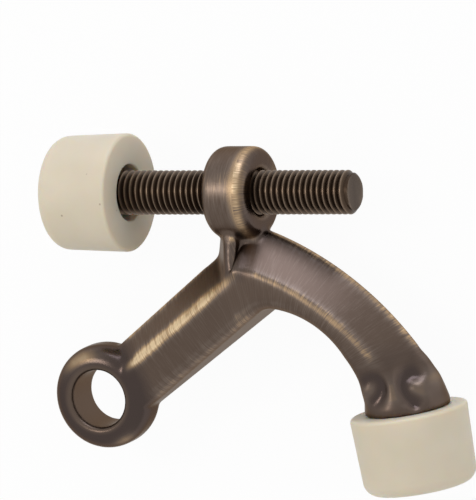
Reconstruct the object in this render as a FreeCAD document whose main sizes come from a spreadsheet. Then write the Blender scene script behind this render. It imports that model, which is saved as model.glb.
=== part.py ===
"""Hinge pin door stop: a zinc casting with an eye for the hinge pin, a threaded collar with an adjusting
screw, and a rubber tip on the screw and on the casting's foot.

Frame, in millimetres: the origin is the middle of the pin's bore, +Z runs along the bore, +X runs along
the screw from its rubber tip to its free end, and +Y points from the bore towards the screw. The casting
is the same on both sides of Z = 0, its parting plane.
"""

import FreeCAD, Part
import math
import os
import Sketcher

SHEET = "sizes"

# Name, size in millimetres or degrees, and what it is
SIZES = (
    ("pin_bore", 8.3, "bore for the hinge pin"),
    ("bore_lip", 0.8, "rounding at both mouths of the bore"),
    ("eye_width", 15.1, "outside diameter of the eye"),
    ("eye_depth", 7.0, "depth of the eye along the pin"),
    ("eye_edge", 2.7, "rounding of the eye's outer edges"),
    ("arm_rise", 35.2, "angle of the straight arm above +X"),
    ("arm_length", 28.0, "pin axis to where the hub starts, along the straight arm"),
    ("arm_under", 5.5, "underside of the straight arm below its line"),
    ("arm_ridge", 0.5, "ridge of the straight arm above its line"),
    ("arm_crest", 5.45, "crest of the straight arm above its line"),
    ("arm_depth_eye", 5.6, "depth of the straight arm at the pin axis"),
    ("arm_depth_hub", 12.4, "depth of the hub and of the curved arm"),
    ("arm_edge", 1.2, "rounding along the ridges and the crest"),
    ("under_edge", 1.9, "rounding along the underside and the arch"),
    ("armpit_start", 30.0, "pin axis to where the arch starts, along the straight arm"),
    ("armpit_bend", 3.8, "bend radius at the top of the arch"),
    ("arch_bend", 14.86, "radius of the arch inside the curved arm"),
    ("hub_corner", 3.0, "rounding of the hub's corner under the collar"),
    ("crest_start", 35.9, "pin axis to the hub's corner at the crest, along the straight arm"),
    ("crest_bend", 49.3, "radius of the curved arm's crest"),
    ("crest_end_out", 3.7, "foot axis to the end of the crest's bend"),
    ("crest_end_rise", 8.7, "foot's seat to the end of the crest's bend"),
    ("ridge_start", 33.0, "pin axis to the hub's corner at the ridge, along the straight arm"),
    ("ridge_bend", 37.6, "radius of the curved arm's ridge"),
    ("ridge_end_out", -0.16, "foot axis to the end of the ridge's bend"),
    ("ridge_end_rise", 7.04, "foot's seat to the end of the ridge's bend"),
    ("foot_x", 47.9, "middle of the foot's seat"),
    ("foot_y", -2.0, "middle of the foot's seat"),
    ("foot_splay", 5.2, "angle of the foot away from -Y"),
    ("foot_inside", 4.8, "foot axis to the arch at the seat"),
    ("foot_crest", 5.8, "foot axis to the crest at the seat"),
    ("foot_ridge", 0.4, "foot axis to the ridge at the seat"),
    ("foot_width", 12.3, "diameter of the round foot"),
    ("foot_rim", 1.2, "height of the foot's round rim"),
    ("foot_height", 8.5, "height of the round foot's dome"),
    ("foot_dome", 8.0, "radius of the dome's curve"),
    ("foot_flare", 2.5, "how far the arm widens above the foot's rim"),
    ("foot_flare_height", 7.5, "height over which the arm widens"),
    ("hollow_wide", 1.5, "radius of the hollows inside the foot's rib, across"),
    ("hollow_deep", 1.9, "radius of the hollows, front to back"),
    ("hollow_tall", 2.8, "radius of the hollows, along the foot"),
    ("hollow_rise", 4.1, "height of the hollows' middles above the seat"),
    ("hollow_inside", 0.9, "foot axis to the hollows' middles"),
    ("hollow_out", 7.15, "parting plane to the hollows' middles"),
    ("screw_rise", 29.5, "pin axis to screw axis"),
    ("collar_x", 24.4, "middle of the collar along the screw"),
    ("collar_width", 13.2, "outside diameter of the collar"),
    ("collar_length", 7.05, "length of the collar along the screw"),
    ("collar_edge", 1.5, "rounding of the collar's edges"),
    ("collar_mouth", 0.5, "countersink at both mouths of the collar"),
    ("neck_foot", 17.4, "height of the neck's foot above the pin axis"),
    ("neck_top", 25.0, "height of the neck's top above the pin axis"),
    ("neck_foot_left", 19.3, "left edge of the neck at its foot"),
    ("neck_top_left", 20.8, "left edge of the neck at its top"),
    ("neck_right", 27.4, "right side of the neck"),
    ("neck_depth", 5.2, "depth of the neck right of its gusset"),
    ("neck_corner", 1.2, "rounding of the neck's corners"),
    ("gusset_foot_x", 23.7, "left edge of the gusset's front at its foot"),
    ("gusset_foot_thick", 0.5, "thickness of the gusset's front at its foot"),
    ("gusset_foot_depth", 12.2, "depth of the gusset at its foot"),
    ("gusset_top_x", 23.4, "left edge of the gusset's front at its top"),
    ("gusset_top_thick", 1.4, "thickness of the gusset's front at its top"),
    ("gusset_top_depth", 8.8, "depth of the gusset at its top"),
    ("screw_width", 6.35, "outside diameter of the screw"),
    ("screw_end_edge", 0.6, "chamfer on the screw's free end"),
    ("screw_play", 0.1, "gap round the screw in the collar"),
    ("thread_pitch", 0.907, "pitch of the screw's thread"),
    ("thread_depth", 0.556, "depth of the screw's thread"),
    ("thread_crest", 0.113, "flat on the thread's crest"),
    ("thread_over", 0.05, "how far the thread's cut starts outside the rod"),
    ("screw_out", 14.7, "collar to the screw's free end"),
    ("tip_out", 14.2, "collar to the mouth of the screw's rubber tip"),
    ("tip_width", 17.0, "diameter of a rubber tip at its mouth"),
    ("tip_length", 11.4, "length of a rubber tip"),
    ("tip_draft", 2.0, "draft angle of a rubber tip's side"),
    ("tip_end_edge", 2.0, "rounding of a rubber tip's striking end"),
    ("tip_mouth_edge", 0.5, "rounding of a rubber tip's mouth"),
    ("tip_mouth", 8.1, "hole in a rubber tip's mouth"),
    ("tip_lip", 2.6, "thickness of a rubber tip's lip"),
    ("tip_pocket", 10.0, "diameter of the pocket behind the lip"),
    ("tip_pocket_depth", 3.6, "depth of the pocket behind the lip"),
    ("head_play", 0.1, "gap round a head in its pocket"),
    ("stud_play", 0.2, "gap round the foot's stud in the lip"),
)

# An outline's straight edge, and the two ways an edge can bend
LINE = (None, 0, False)
LEFT = 1
RIGHT = -1

# Two faces that meet at more than this many degrees make a sharp edge
SHARP_ANGLE = 20.0
NEAR = 0.01

# A sketch's solver moves edges on from these first guesses
FREE_BEND = 1.5
LEAST_BEND = 0.5001
ARCH_TOP_ANGLE = 11.0

doc = FreeCAD.newDocument("hinge_pin_door_stop")
sheet = doc.addObject("Spreadsheet::Sheet", SHEET)
for row, (alias, number, meaning) in enumerate(SIZES, start=1):
    sheet.set(f"A{row}", alias)
    sheet.set(f"B{row}", str(number))
    sheet.set(f"C{row}", meaning)
    sheet.setAlias(f"B{row}", alias)
doc.recompute()


def size(alias):
    """A size from the sheet, as a number."""
    return float(sheet.get(alias))


def bound(text):
    """An expression in which {alias} stands for that cell of the sheet."""
    return text.replace("{", SHEET + ".").replace("}", "")


def value(text):
    """What such an expression comes to now."""
    return float(sheet.evalExpression(bound(text)))


def origin_plane(body, role):
    return next(item for item in body.Origin.OriginFeatures if item.Role == role)


def new_sketch(body, name, role, place=None, turn=None):
    """A sketch on an origin plane, moved to place (x, y, z) and given a turn (own axis, angle)."""
    sketch = body.newObject("Sketcher::SketchObject", name)
    sketch.AttachmentSupport = [(origin_plane(body, role), "")]
    sketch.MapMode = "FlatFace"
    if turn:
        axis, angle = turn
        turned = FreeCAD.Rotation(FreeCAD.Vector(*axis), value(angle))
        sketch.AttachmentOffset = FreeCAD.Placement(FreeCAD.Vector(), turned)
        sketch.setExpression("AttachmentOffset.Rotation.Angle", bound(angle))
    for letter, text in zip("xyz", place or ()):
        sketch.setExpression(f"AttachmentOffset.Base.{letter}", bound(text))
    return sketch


def arc_between(start, end, radius, turn):
    """The arc of less than half a turn from start to end that bends left or right."""
    chord = end - start
    radius = max(radius, chord.Length * LEAST_BEND)
    rise = math.sqrt(radius**2 - (chord.Length / 2) ** 2)
    across = FreeCAD.Vector(-chord.y, chord.x, 0).normalize()
    centre = start + chord * 0.5 + across * (turn * rise)
    first, last = (start, end) if turn == LEFT else (end, start)
    angles = [math.atan2(point.y - centre.y, point.x - centre.x) for point in (first, last)]
    circle = Part.Circle(centre, FreeCAD.Vector(0, 0, 1), radius)
    return Part.ArcOfCircle(circle, angles[0], angles[1])


def edge_between(start, end, radius, turn):
    """A line or an arc, to start from, and which of its own ends come first and last."""
    if not turn:
        return Part.LineSegment(start, end), 1, 2
    reach = value(radius) if radius else FREE_BEND * (end - start).Length
    arc = arc_between(start, end, reach, turn)
    return (arc, 1, 2) if turn == LEFT else (arc, 2, 1)


def heading(start, end, radius, turn, at_end):
    """Direction of an edge at its start or its end."""
    chord = end - start
    if turn:
        reach = max(value(radius) if radius else FREE_BEND * chord.Length, chord.Length * LEAST_BEND)
        lean = math.degrees(math.asin(chord.Length / 2 / reach)) * turn * (1 if at_end else -1)
        chord = FreeCAD.Rotation(FreeCAD.Vector(0, 0, 1), lean).multVec(chord)
    return chord.normalize()


def bind(sketch, kind, *places):
    """Adds a dimension to a sketch and ties it to an expression, the last of places."""
    rule = sketch.addConstraint(Sketcher.Constraint(kind, *places[:-1], value(places[-1])))
    sketch.setExpression(f"Constraints[{rule}]", bound(places[-1]))


def place_now(place):
    """A corner's place, given as an expression or as a number, as a number."""
    return value(place) if isinstance(place, str) else place


def draw_outline(sketch, corners, edges=None):
    """Draws a closed outline.

    corners: (x, y) or (x, y, rounding) as expressions, or (x, y) as two numbers to start from where
    tangency settles the place.
    edges: from each corner to the next, (radius expression or None, turn, smooth). A line has no turn, and
    smooth makes the edge tangent to the one before it. All are lines where none are given.
    """
    edges = edges or [LINE] * len(corners)
    count = len(corners)
    points = [FreeCAD.Vector(*(place_now(place) for place in corner[:2]), 0) for corner in corners]
    spans = [(points[i], points[(i + 1) % count], edges[i][0], edges[i][1]) for i in range(count)]
    leave = list(points)
    arrive = list(points)
    for index, corner in enumerate(corners):
        if len(corner) == 3:
            before, after = heading(*spans[index - 1], True), heading(*spans[index], False)
            cut = value(corner[2]) * math.tan(before.getAngle(after) / 2)
            arrive[index] = points[index] - before * cut
            leave[index] = points[index] + after * cut

    drawn = []
    for index, (radius, turn, smooth) in enumerate(edges):
        if len(corners[index]) == 3:
            side = heading(*spans[index - 1], True).cross(heading(*spans[index], False)).z
            bend = LEFT if side > 0 else RIGHT
            arc, first, last = edge_between(arrive[index], leave[index], corners[index][2], bend)
            drawn.append((sketch.addGeometry(arc), first, last, corners[index][2], True, index))
            smooth = True
        shape, first, last = edge_between(leave[index], arrive[(index + 1) % count], radius, turn)
        drawn.append((sketch.addGeometry(shape), first, last, radius, smooth, index))

    for place, (geometry, first, _, radius, smooth, index) in enumerate(drawn):
        before = drawn[place - 1]
        kind = "Tangent" if smooth else "Coincident"
        sketch.addConstraint(Sketcher.Constraint(kind, before[0], before[2], geometry, first))
        if radius:
            bind(sketch, "Radius", geometry, radius)
        corner = corners[index]
        if len(corner) == 3 and drawn[(place + 1) % len(drawn)][5] == index:
            after = drawn[(place + 1) % len(drawn)]
            mark = sketch.addGeometry(Part.Point(points[index]), True)
            for side in (before[0], after[0]):
                sketch.addConstraint(Sketcher.Constraint("PointOnObject", mark, 1, side))
            geometry, first = mark, 1
        elif len(corner) == 3 or not isinstance(corner[0], str):
            continue
        bind(sketch, "DistanceX", -1, 1, geometry, first, corner[0])
        bind(sketch, "DistanceY", -1, 1, geometry, first, corner[1])


def revolve(body, kind, name, sketch, axis):
    """A full turn of a sketch about its own H_Axis or V_Axis."""
    feature = body.newObject(f"PartDesign::{kind}", name)
    feature.Profile = sketch
    feature.ReferenceAxis = (sketch, [axis])
    feature.Angle = 360.0
    sketch.Visibility = False
    doc.recompute()
    return feature


def disc_section(half_length, radius, edge):
    """Corners of a disc's half section with rounded rims, with the disc's axis along the sketch's X."""
    return [
        (f"-({half_length})", "0"),
        (half_length, "0"),
        (half_length, radius, edge),
        (f"-({half_length})", radius, edge),
    ]


def arm_point(along, above):
    """A place given along the straight arm's line and above it, as (x, y) expressions."""
    return (
        f"({along}) * cos({{arm_rise}} * 1 deg) - ({above}) * sin({{arm_rise}} * 1 deg)",
        f"({along}) * sin({{arm_rise}} * 1 deg) + ({above}) * cos({{arm_rise}} * 1 deg)",
    )


def foot_point(across, above="0"):
    """A place given across the foot's axis and above its seat, as (x, y) expressions."""
    return (
        f"{{foot_x}} + ({across}) * cos({{foot_splay}} * 1 deg) - ({above}) * sin({{foot_splay}} * 1 deg)",
        f"{{foot_y}} + ({across}) * sin({{foot_splay}} * 1 deg) + ({above}) * cos({{foot_splay}} * 1 deg)",
    )


def straight_arm_section(body, name, along, depth):
    """Section across the straight arm: a flat front and back, a flat underside and a pitched roof."""
    sketch = new_sketch(
        body,
        name,
        "YZ_Plane",
        place=(f"({along}) * sin({{arm_rise}} * 1 deg)", "0", f"({along}) * cos({{arm_rise}} * 1 deg)"),
        turn=((0, 1, 0), "{arm_rise}"),
    )
    half = f"({depth}) / 2"
    corners = [
        ("-{arm_under}", f"-{half}", "{under_edge}"),
        ("{arm_ridge}", f"-{half}", "{arm_edge}"),
        ("{arm_crest}", "0", "{arm_edge}"),
        ("{arm_ridge}", half, "{arm_edge}"),
        ("-{arm_under}", half, "{under_edge}"),
    ]
    draw_outline(sketch, corners)
    return sketch


def curved_arm_outline(body, name, edge, height):
    """Outline of the hub and the curved arm, out to its crest or its ridge, at a height."""
    sketch = new_sketch(body, name, "XY_Plane", place=("0", "0", height))
    armpit = arm_point("{armpit_start}", "-{arm_under}")
    slant = math.radians(size("arm_rise"))
    turned = math.radians(ARCH_TOP_ANGLE)
    bend = size("armpit_bend")
    arch_top = (
        value(armpit[0]) + bend * (math.sin(slant) + math.sin(turned)),
        value(armpit[1]) + bend * (math.cos(turned) - math.cos(slant)),
    )
    corners = [
        arm_point("{arm_length}", "-{arm_under}"),
        armpit,
        arch_top,
        foot_point("-{foot_inside}"),
        foot_point(f"{{foot_{edge}}}"),
        foot_point(f"{{{edge}_end_out}}", f"{{{edge}_end_rise}}"),
        (*arm_point(f"{{{edge}_start}}", f"{{arm_{edge}}}"), "{hub_corner}"),
        arm_point("{arm_length}", f"{{arm_{edge}}}"),
    ]
    edges = [
        LINE,
        ("{armpit_bend}", RIGHT, True),
        ("{arch_bend}", RIGHT, True),
        LINE,
        (None, LEFT, False),
        (f"{{{edge}_bend}}", LEFT, True),
        LINE,
        LINE,
    ]
    draw_outline(sketch, corners, edges)
    return sketch


def loft(body, name, sections):
    """Straight-sided loft through sections, in order."""
    feature = body.newObject("PartDesign::AdditiveLoft", name)
    feature.Profile = sections[0]
    feature.Sections = [(section, [""]) for section in sections[1:]]
    feature.Ruled = True
    feature.Refine = True
    for section in sections:
        section.Visibility = False
    doc.recompute()
    return feature


def sharp_edges(shape, keep):
    """Names of the sharp edges that keep(middle, direction, normals of both faces) takes."""
    names = []
    for number, edge in enumerate(shape.Edges, start=1):
        along = (edge.FirstParameter + edge.LastParameter) / 2
        middle = edge.valueAt(along)
        faces = shape.ancestorsOfType(edge, Part.Face)
        normals = [face.normalAt(*face.Surface.parameter(middle)) for face in faces]
        sharp = len(normals) == 2 and math.degrees(normals[0].getAngle(normals[1])) > SHARP_ANGLE
        if sharp and keep(middle, edge.tangentAt(along), normals):
            names.append(f"Edge{number}")
    return names


def round_edges(body, name, feature, keep, radius):
    """Rounds the sharp edges of a body's last feature that keep takes."""
    rounding = body.newObject("PartDesign::Fillet", name)
    rounding.Base = (feature, sharp_edges(feature.Shape, keep))
    rounding.setExpression("Radius", bound(radius))
    doc.recompute()
    return rounding


def along_arm(point):
    """How far a point lies along the straight arm's line."""
    slant = math.radians(size("arm_rise"))
    return point.x * math.cos(slant) + point.y * math.sin(slant)


def above_seat(point):
    """How far a point lies above the foot's seat."""
    splay = math.radians(size("foot_splay"))
    return (point.y - size("foot_y")) * math.cos(splay) - (point.x - size("foot_x")) * math.sin(splay)


def make_arms(body):
    """The straight arm, the hub and the curved arm, with their long edges rounded."""
    half = "{arm_depth_hub} / 2"
    outlines = [
        curved_arm_outline(body, "front_face", "ridge", half),
        curved_arm_outline(body, "parting", "crest", "0"),
        curved_arm_outline(body, "back_face", "ridge", f"-{half}"),
    ]
    curved = loft(body, "curved_arm", outlines)

    def runs_along(middle, direction, normals):
        inside = along_arm(middle) > size("arm_length") + NEAR and above_seat(middle) > NEAR
        return inside and abs(direction.z) < NEAR

    def borders_arch(middle, direction, normals):
        return runs_along(middle, direction, normals) and min(abs(normal.z) for normal in normals) < NEAR

    curved = round_edges(body, "arch_edges", curved, borders_arch, "{under_edge}")
    round_edges(body, "ridge_edges", curved, runs_along, "{arm_edge}")
    ends = [
        straight_arm_section(body, "arm_at_eye", "0", "{arm_depth_eye}"),
        straight_arm_section(body, "arm_at_hub", "{arm_length}", "{arm_depth_hub}"),
    ]
    loft(body, "straight_arm", ends)


def make_eye(body):
    """The eye round the hinge pin, solid until its bore is cut."""
    sketch = new_sketch(body, "eye_section", "XZ_Plane", turn=((0, 0, 1), "90"))
    draw_outline(sketch, disc_section("{eye_depth} / 2", "{eye_width} / 2", "{eye_edge}"))
    revolve(body, "Revolution", "eye", sketch, "H_Axis")


def neck_plan(body, end):
    """Section across the neck and its gusset at the neck's foot or its top."""
    sketch = new_sketch(body, f"neck_plan{end}", "XZ_Plane", place=("0", "0", f"-{{neck{end}}}"))
    front, side = f"{{gusset{end}_depth}} / 2", "{neck_depth} / 2"
    left, right = f"{{gusset{end}_x}}", f"{{gusset{end}_x}} + {{gusset{end}_thick}}"
    corners = [
        (f"{{neck{end}_left}}", "0"),
        (left, f"-{front}"),
        (right, f"-{front}"),
        (right, f"-{side}", "{neck_corner}"),
        ("{neck_right}", f"-{side}", "{neck_corner}"),
        ("{neck_right}", side, "{neck_corner}"),
        (right, side, "{neck_corner}"),
        (right, front),
        (left, front),
    ]
    draw_outline(sketch, corners)
    return sketch


def make_collar(body):
    """The neck and its gusset on the hub, and the collar on top, solid until the screw's hole is cut."""
    loft(body, "neck", [neck_plan(body, end) for end in ("_foot", "_top")])
    section = new_sketch(body, "collar_section", "XY_Plane", place=("{collar_x}", "{screw_rise}", "0"))
    draw_outline(section, disc_section("{collar_length} / 2", "{collar_width} / 2", "{collar_edge}"))
    revolve(body, "Revolution", "collar", section, "H_Axis")


def foot_sketch(body, name):
    """A sketch in the parting plane whose +Y points out of the foot, from the middle of its seat."""
    return new_sketch(
        body, name, "XY_Plane", place=("{foot_x}", "{foot_y}", "0"), turn=((0, 0, 1), "180 + {foot_splay}")
    )


def make_foot(body):
    """Trims the arm's end round, adds the foot's dome and the stud for its tip, and cuts its hollows."""
    trim = foot_sketch(body, "foot_trim_section")
    rim, flare = "{foot_width} / 2", "{foot_width} / 2 + {foot_flare}"
    outside = "{foot_width} / 2 + 2 * {foot_flare}"
    corners = [
        (rim, "0"),
        (outside, "0"),
        (outside, "-{foot_flare_height}"),
        (flare, "-{foot_flare_height}"),
        (rim, "-{foot_rim}"),
    ]
    draw_outline(trim, corners)
    revolve(body, "Groove", "foot_trim", trim, "V_Axis")

    stud = foot_sketch(body, "foot_stud_section")
    neck = "{tip_mouth} / 2 - {stud_play}"
    head = "{tip_pocket} / 2 - {head_play}"
    under_head, top = "{tip_lip} + {head_play}", "{tip_lip} + {tip_pocket_depth} - {head_play}"
    corners = [
        ("0", "-{foot_height}"),
        (rim, "-{foot_rim}"),
        (rim, "0"),
        (neck, "0"),
        (neck, under_head),
        (head, under_head),
        (head, top),
        ("0", top),
    ]
    draw_outline(stud, corners, [("{foot_dome}", LEFT, False)] + [LINE] * (len(corners) - 1))
    revolve(body, "Revolution", "foot_stud", stud, "V_Axis")
    make_hollows(body)


def make_hollows(body):
    """A hollow in the front and one in the back, inside the ridge that runs down to the foot as a rib."""
    x, y = foot_point("-{hollow_inside}", "{hollow_rise}")
    for side, sign in (("front", ""), ("back", "-")):
        hollow = body.newObject("PartDesign::SubtractiveEllipsoid", f"hollow_{side}")
        turned = FreeCAD.Rotation(FreeCAD.Vector(0, 0, 1), size("foot_splay"))
        hollow.Placement = FreeCAD.Placement(FreeCAD.Vector(), turned)
        sizes = {
            "Radius1": "{hollow_deep}",
            "Radius2": "{hollow_wide}",
            "Radius3": "{hollow_tall}",
            "Placement.Base.x": x,
            "Placement.Base.y": y,
            "Placement.Base.z": f"{sign}{{hollow_out}}",
            "Placement.Rotation.Angle": "{foot_splay}",
        }
        for place, text in sizes.items():
            hollow.setExpression(place, bound(text))
        doc.recompute()


def cut_hole(body, name, sketch, half_length, radius, mouth, rounded):
    """Cuts a round hole along the sketch's X whose two mouths widen, rounded or else countersunk."""
    corners = [
        (f"-({half_length})", "0"),
        (f"-({half_length})", f"{radius} + {mouth}"),
        (f"{mouth} - ({half_length})", radius),
        (f"{half_length} - {mouth}", radius),
        (half_length, f"{radius} + {mouth}"),
        (half_length, "0"),
    ]
    widening = (mouth, LEFT, False) if rounded else LINE
    draw_outline(sketch, corners, [LINE, widening, LINE, widening, LINE, LINE])
    revolve(body, "Groove", name, sketch, "H_Axis")


def make_cast_arm():
    body = doc.addObject("PartDesign::Body", "cast_arm")
    body.Label = "cast_arm"
    make_arms(body)
    make_eye(body)
    make_collar(body)
    make_foot(body)
    bore = new_sketch(body, "bore_section", "XZ_Plane", turn=((0, 0, 1), "90"))
    cut_hole(body, "bore", bore, "{eye_depth} / 2", "{pin_bore} / 2", "{bore_lip}", True)
    hole = new_sketch(body, "screw_hole_section", "XY_Plane", place=("{collar_x}", "{screw_rise}", "0"))
    radius = "{screw_width} / 2 + {screw_play}"
    cut_hole(body, "screw_hole", hole, "{collar_length} / 2", radius, "{collar_mouth}", False)
    return body


def make_rubber_tip(label, place, angle):
    """A moulded rubber tip. Its mouth is at its own origin and it reaches along its own +Y."""
    body = doc.addObject("PartDesign::Body", label)
    body.Label = label
    sketch = new_sketch(body, f"{label}_section", "XY_Plane")
    mouth, pocket = "{tip_mouth} / 2", "{tip_pocket} / 2"
    deep = "{tip_lip} + {tip_pocket_depth}"
    corners = [
        (mouth, "0"),
        ("{tip_width} / 2", "0", "{tip_mouth_edge}"),
        ("{tip_width} / 2 - {tip_length} * tan({tip_draft} * 1 deg)", "{tip_length}", "{tip_end_edge}"),
        ("0", "{tip_length}"),
        ("0", deep),
        (pocket, deep),
        (pocket, "{tip_lip}"),
        (mouth, "{tip_lip}"),
    ]
    draw_outline(sketch, corners)
    revolve(body, "Revolution", f"{label}_moulding", sketch, "V_Axis")
    put(body, place, angle)
    return body


def put(body, place, angle):
    """Places a sub-part in the parting plane, turned about Z."""
    turned = FreeCAD.Rotation(FreeCAD.Vector(0, 0, 1), value(angle))
    body.Placement = FreeCAD.Placement(FreeCAD.Vector(), turned)
    body.setExpression("Placement.Base.x", bound(place[0]))
    body.setExpression("Placement.Base.y", bound(place[1]))
    body.setExpression("Placement.Rotation.Angle", bound(angle))
    doc.recompute()


def cut_thread(body, free_end):
    """The screw's right-handed thread, cut from just inside its rubber tip to past its free end."""
    sketch = new_sketch(body, "thread_section", "XY_Plane")
    rod, start = "{screw_width} / 2", "-{thread_pitch}"
    half = "({thread_pitch} - {thread_crest}) / 2 * (1 + {thread_over} / {thread_depth})"
    corners = [
        (start, f"{rod} - {{thread_depth}}"),
        (f"{start} + {half}", f"{rod} + {{thread_over}}"),
        (f"{start} - {half}", f"{rod} + {{thread_over}}"),
    ]
    draw_outline(sketch, corners)
    thread = body.newObject("PartDesign::SubtractiveHelix", "thread")
    thread.Profile = sketch
    thread.ReferenceAxis = (sketch, ["H_Axis"])
    thread.Mode = "pitch-height-angle"
    thread.setExpression("Pitch", bound("{thread_pitch}"))
    thread.setExpression("Height", bound(f"{free_end} + 3 * {{thread_pitch}}"))
    sketch.Visibility = False


def make_adjusting_screw(place):
    """The threaded screw, from the head held in its rubber tip to its free end."""
    body = doc.addObject("PartDesign::Body", "adjusting_screw")
    body.Label = "adjusting_screw"
    sketch = new_sketch(body, "adjusting_screw_section", "XY_Plane")
    rod, head = "{screw_width} / 2", "{tip_pocket} / 2 - {head_play}"
    head_start = "{head_play} - {tip_lip} - {tip_pocket_depth}"
    head_end = "-({tip_lip} + {head_play})"
    free_end = "{tip_out} + {collar_length} + {screw_out}"
    corners = [
        (head_start, "0"),
        (head_start, head),
        (head_end, head),
        (head_end, rod),
        (f"{free_end} - {{screw_end_edge}}", rod),
        (free_end, f"{rod} - {{screw_end_edge}}"),
        (free_end, "0"),
    ]
    draw_outline(sketch, corners)
    revolve(body, "Revolution", "adjusting_screw_rod", sketch, "H_Axis")
    cut_thread(body, free_end)
    put(body, place, "0")
    return body


def main():
    tip_mouth = ("{collar_x} - {collar_length} / 2 - {tip_out}", "{screw_rise}")
    parts = [
        make_cast_arm(),
        make_adjusting_screw(tip_mouth),
        make_rubber_tip("screw_bumper", tip_mouth, "90"),
        make_rubber_tip("foot_bumper", ("{foot_x}", "{foot_y}"), "180 + {foot_splay}"),
    ]
    doc.recompute()
    failed = [item.Name for item in doc.Objects if "Invalid" in item.State or "Error" in item.State]
    failed += [part.Label for part in parts if part.Shape.isNull() or not part.Shape.isValid()]
    if failed:
        raise RuntimeError("failed: " + ", ".join(failed))
    os.makedirs("parts", exist_ok=True)
    for part in parts:
        part.Shape.exportStep(f"parts/{part.Label}.step")
        print(part.Label, len(part.Shape.Solids), round(part.Shape.Volume, 1))


main()
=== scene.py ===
import math

import bmesh
import bpy
import numpy as np
from mathutils import Matrix, Vector


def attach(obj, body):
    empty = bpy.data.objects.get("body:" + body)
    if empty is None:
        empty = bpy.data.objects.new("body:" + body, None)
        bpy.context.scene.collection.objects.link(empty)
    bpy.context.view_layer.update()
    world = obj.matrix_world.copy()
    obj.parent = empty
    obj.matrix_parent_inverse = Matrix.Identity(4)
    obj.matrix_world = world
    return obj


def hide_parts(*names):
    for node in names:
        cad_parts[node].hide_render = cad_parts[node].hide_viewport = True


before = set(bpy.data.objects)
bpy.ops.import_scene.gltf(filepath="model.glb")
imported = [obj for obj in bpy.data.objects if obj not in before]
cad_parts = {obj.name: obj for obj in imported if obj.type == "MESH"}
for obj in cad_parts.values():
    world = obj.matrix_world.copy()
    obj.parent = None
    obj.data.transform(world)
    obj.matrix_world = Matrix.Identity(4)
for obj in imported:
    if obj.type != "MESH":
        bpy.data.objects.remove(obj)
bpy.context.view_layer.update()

MM = 0.001

# The stop's own sizes, in millimetres and radians
SCREW_HEIGHT = 29.5
SCREW_RADIUS = 3.175
SCREW_END_X = 42.625
END_CHAMFER = 0.6
END_FACE = 0.01
THREAD_PITCH = 0.907
THREAD_DEPTH = 0.556
THREAD_CREST = 0.113
THREAD_ROOT = 0.12
THREAD_TURNS_IN_TIP = 5.5
HEAD_START_X = 0.575
HEAD_END_X = 3.975
HEAD_RADIUS = 4.9
HEAD_OVERLAP = 0.05
TIP_MOUTH_X = 6.675
TIP_RADIUS = 8.48
TIP_LENGTH = 11.4
TIP_DRAFT = math.radians(2.0)
TIP_MOUTH_RADIUS = 4.05
TIP_LIP = 2.6
TIP_POCKET_RADIUS = 5.0
TIP_POCKET_DEPTH = 3.6
TIP_RIM_ROUND = 0.5
TIP_END_ROUND = 2.0
TIP_MOUTH_ROUND = 0.25
FOOT_SEAT = (47.9, -2.0)
FOOT_SPLAY = math.radians(5.2)
FOOT_FROM_X = 38
FAR_FROM_FOOT = 99.0
ARM_RISE = math.radians(35.2)
ARM_RIDGE = 0.5
ARM_BEND_X = 26.0
ARM_BEND_HALF = 3.0
ARCH_MIDDLE = (28.1, -1.6)
CURVED_ARM_RADIUS = 20.0
COLLAR_X = 24.4
COLLAR_HALF = 4.2
COLLAR_LOW = 23.2
COLLAR_RADIUS = 6.6

# How finely the meshes are made, in millimetres, sides and degrees
MERGE = 0.0005
SEAM_MERGE = 0.001
NEAR = 0.1
VOXEL = 0.23
TIP_SIDES = 112
THREAD_SIDES = 40
HEAD_SIDES = 64
TIP_CREASE = 35
THREAD_CREASE = 25

# Soft forms of the foot on each side of the rib that runs down it: way over the surface, reach and depth
RIB_INSIDE = (
    (44.0, 3.2, 5.9),
    (45.5, 3.9, 6.1),
    (46.6, 3.4, 6.1),
    (46.7, 2.0, 6.0),
    (46.1, 0.9, 6.1),
    (45.4, 0.4, 6.1),
)
RIB_OUTSIDE = (
    (51.1, 4.2, 2.7),
    (50.3, 4.0, 3.7),
    (49.9, 3.1, 4.5),
    (50.1, 2.0, 4.9),
    (50.8, 1.0, 5.0),
    (51.5, 0.3, 4.8),
)
CREST_END = ((51.9, 4.3, 0.0), (52.3, 3.5, 0.0))
FOOT_FORMS = ((RIB_INSIDE, 1.7, 0.9), (RIB_OUTSIDE, 1.9, 1.15), (CREST_END, 3.2, -0.7))
# Soft forms of the neck, kept to the faces that look one way: the web's outer face stands a little further
# out than the solid's, and the curved arm's roof runs on to the web
WEB_FACE = ((24.6, 22.6, 4.4), (24.5, 20.8, 4.9), (24.3, 19.2, 5.4))
ROOF_END = ((24.6, 18.9, 5.4), (24.6, 20.2, 4.2), (24.7, 21.8, 2.8))
OUTWARD = (1.0, 0.0, 0.0)
UP = (0.0, 1.0, 0.0)
NECK_FORMS = ((WEB_FACE, 1.8, -0.7, OUTWARD), (ROOF_END, 2.7, -0.9, UP))
FACING_FADE = (0.3, 0.55)
PATH_ROUNDS = 3

# How the casting is smoothed: rounds of smoothing, and how deep an inner corner is, in millimetres, where
# its smoothing starts and where it is full
CORNER_BLUR = 12
CORNER_DEPTH = (0.012, 0.042)
CORNER_SPREAD = 6
CORNER_GAIN = 1.6
NECK_KEPT = 0.75
CORNER_ROUNDS = 44
STEP_ROUNDS = 5
FOOT_ROUNDS = 160
FORM_ROUNDS = 80
NECK_ROUNDS = 40
LAST_ROUNDS = 4
WEIGHT_STEPS = 10
BULGE_SPREAD = 3

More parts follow.
